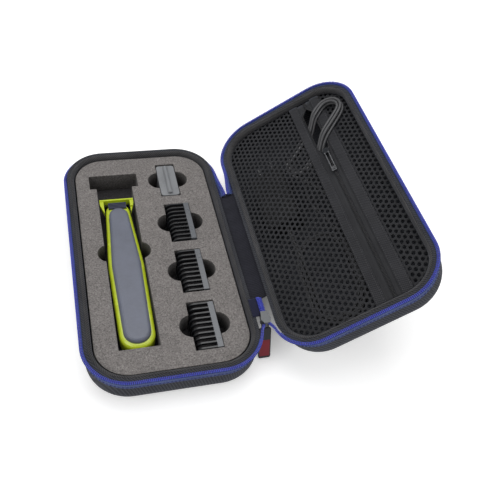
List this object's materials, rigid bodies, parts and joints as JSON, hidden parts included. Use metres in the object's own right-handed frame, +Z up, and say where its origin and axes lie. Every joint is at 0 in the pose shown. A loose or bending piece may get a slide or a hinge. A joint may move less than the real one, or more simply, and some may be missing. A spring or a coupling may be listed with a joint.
{
  "type": "electric shaver hard case",
  "caption": "Open zip-round hard case: foam tray with a cordless trimmer, combs and blade cap, and a mesh-pocket lid holding a charger and its cord.",
  "frame": {"origin": "centre of the base tray's underside, on the surface that it stands on", "axes": "+Z up, +X from the base tray across the hinge to the lid, +Y along the hinge, towards the trimmer's blade"},
  "size_m": [0.2606, 0.2438, 0.1103],
  "materials": {
    "shell_cloth": "ribbed cloth over moulded foam board",
    "rim_binding": "ribbed woven binding",
    "zip_tape": "woven tape",
    "zip_coil": "coiled nylon",
    "grey_foam": "cut cellular foam",
    "dark_foam": "cellular foam",
    "spine_cloth": "woven cloth",
    "zip_web": "woven tape",
    "slider_metal": "matt enamel",
    "pull_rubber": "moulded rubber",
    "pull_red": "moulded rubber",
    "mesh": "knitted net",
    "webbing": "woven webbing",
    "pocket_tape": "woven tape",
    "pocket_coil": "coiled nylon",
    "dark_metal": "matt enamel",
    "wire_metal": "bent wire",
    "black_plastic": "fine moulded grain",
    "pin_metal": "plated",
    "cord_grey": "smooth flexible sheath",
    "lime_plastic": "satin moulded",
    "grip_rubber": "soft grip",
    "cover_grey": "satin moulded",
    "neck_navy": "satin moulded",
    "light_lens": "clear lens",
    "battery_wrap": "shrink wrap",
    "motor_can": "drawn can",
    "board_green": "solder mask",
    "blade_steel": "ground",
    "comb_black": "moulded",
    "cap_grey": "fine moulded grain"
  },
  "bodies": {
    "base": {"base_shell": "shell_cloth", "base_binding": "rim_binding", "base_zip_tape": "zip_tape", "base_zip_coil": "zip_coil", "foam_insert": "grey_foam", "foam_pad": "dark_foam", "spine_hinge": "spine_cloth", "zip_chain": "zip_coil", "zip_chain_web": "zip_web"},
    "lid": {"lid_shell": "shell_cloth", "lid_binding": "rim_binding", "lid_zip_tape": "zip_tape", "lid_zip_coil": "zip_coil", "pocket_mesh_wide": "mesh", "pocket_mesh_narrow": "mesh", "pocket_webbing_inner": "webbing", "pocket_webbing_outer": "webbing", "pocket_tape_inner": "pocket_tape", "pocket_tape_outer": "pocket_tape", "pocket_zip_coil": "pocket_coil", "charger": "black_plastic", "charger_pins": "pin_metal", "charge_cord": "cord_grey", "charge_plug": "black_plastic"},
    "slider": {"zip_slider": "slider_metal"},
    "pull": {"pull_tab": "pull_rubber", "pull_panel": "pull_red"},
    "pocket_slider_body": {"pocket_slider": "dark_metal"},
    "pocket_pull_body": {"pocket_pull": "wire_metal"},
    "trimmer": {"trimmer_body": "lime_plastic", "trimmer_grip": "grip_rubber", "trimmer_cover": "cover_grey", "trimmer_neck": "neck_navy", "charge_light": "light_lens", "charge_socket": "black_plastic", "battery": "battery_wrap", "motor": "motor_can", "circuit_board": "board_green", "drive_pin": "pin_metal", "blade_frame": "lime_plastic", "blade_guard": "blade_steel", "blade_latch": "lime_plastic"},
    "power_button": {"trimmer_button": "lime_plastic"},
    "cutter": {"blade_cutter": "blade_steel"},
    "short_comb": {"comb_short": "comb_black"},
    "medium_comb": {"comb_medium": "comb_black"},
    "long_comb": {"comb_long": "comb_black"},
    "cap": {"blade_cap": "cap_grey"}
  },
  "joints": [
    {"name": "lid_hinge", "type": "hinge", "parent": "base", "child": "lid", "pos_m": [0.07, 0, 0.033], "axis": [0, 1, 0], "range_deg": [-145.5, 0], "deforming": ["spine_hinge"]},
    {"name": "zip_slide", "type": "slide", "parent": "base", "child": "slider", "axis": [0, 1, 0], "range_m": [0, 0.012], "deforming": ["zip_chain", "zip_chain_web"]},
    {"name": "pull_swing", "type": "hinge", "parent": "slider", "child": "pull", "pos_m": [0.07, -0.0858, 0.02895], "axis": [-1, 0, 0], "range_deg": [0, 60]},
    {"name": "pocket_slide", "type": "slide", "parent": "lid", "child": "pocket_slider_body", "axis": [0, -1, 0], "range_m": [0, 0.12], "deforming": ["pocket_zip_coil"]},
    {"name": "pocket_pull_swing", "type": "hinge", "parent": "pocket_slider_body", "child": "pocket_pull_body", "pos_m": [0.14996, 0.0416, 0.08262], "axis": [-0.8241, 0, -0.5664], "range_deg": [0, 70]},
    {"name": "trimmer_lift", "type": "slide", "parent": "base", "child": "trimmer", "axis": [0, 0, 1], "range_m": [0, 0.06]},
    {"name": "short_comb_lift", "type": "slide", "parent": "base", "child": "short_comb", "axis": [0, 0, 1], "range_m": [0, 0.06]},
    {"name": "medium_comb_lift", "type": "slide", "parent": "base", "child": "medium_comb", "axis": [0, 0, 1], "range_m": [0, 0.06]},
    {"name": "long_comb_lift", "type": "slide", "parent": "base", "child": "long_comb", "axis": [0, 0, 1], "range_m": [0, 0.06]},
    {"name": "cap_lift", "type": "slide", "parent": "base", "child": "cap", "axis": [0, 0, 1], "range_m": [0, 0.06]},
    {"name": "button_press", "type": "slide", "parent": "trimmer", "child": "power_button", "axis": [0, 0, 1], "range_m": [0, 0.0008], "stiffness_N_per_m": 400, "springref_m": -0.0005},
    {"name": "cutter_shuttle", "type": "slide", "parent": "trimmer", "child": "cutter", "axis": [1, 0, 0], "range_m": [-0.001, 0.001]}
  ]
}
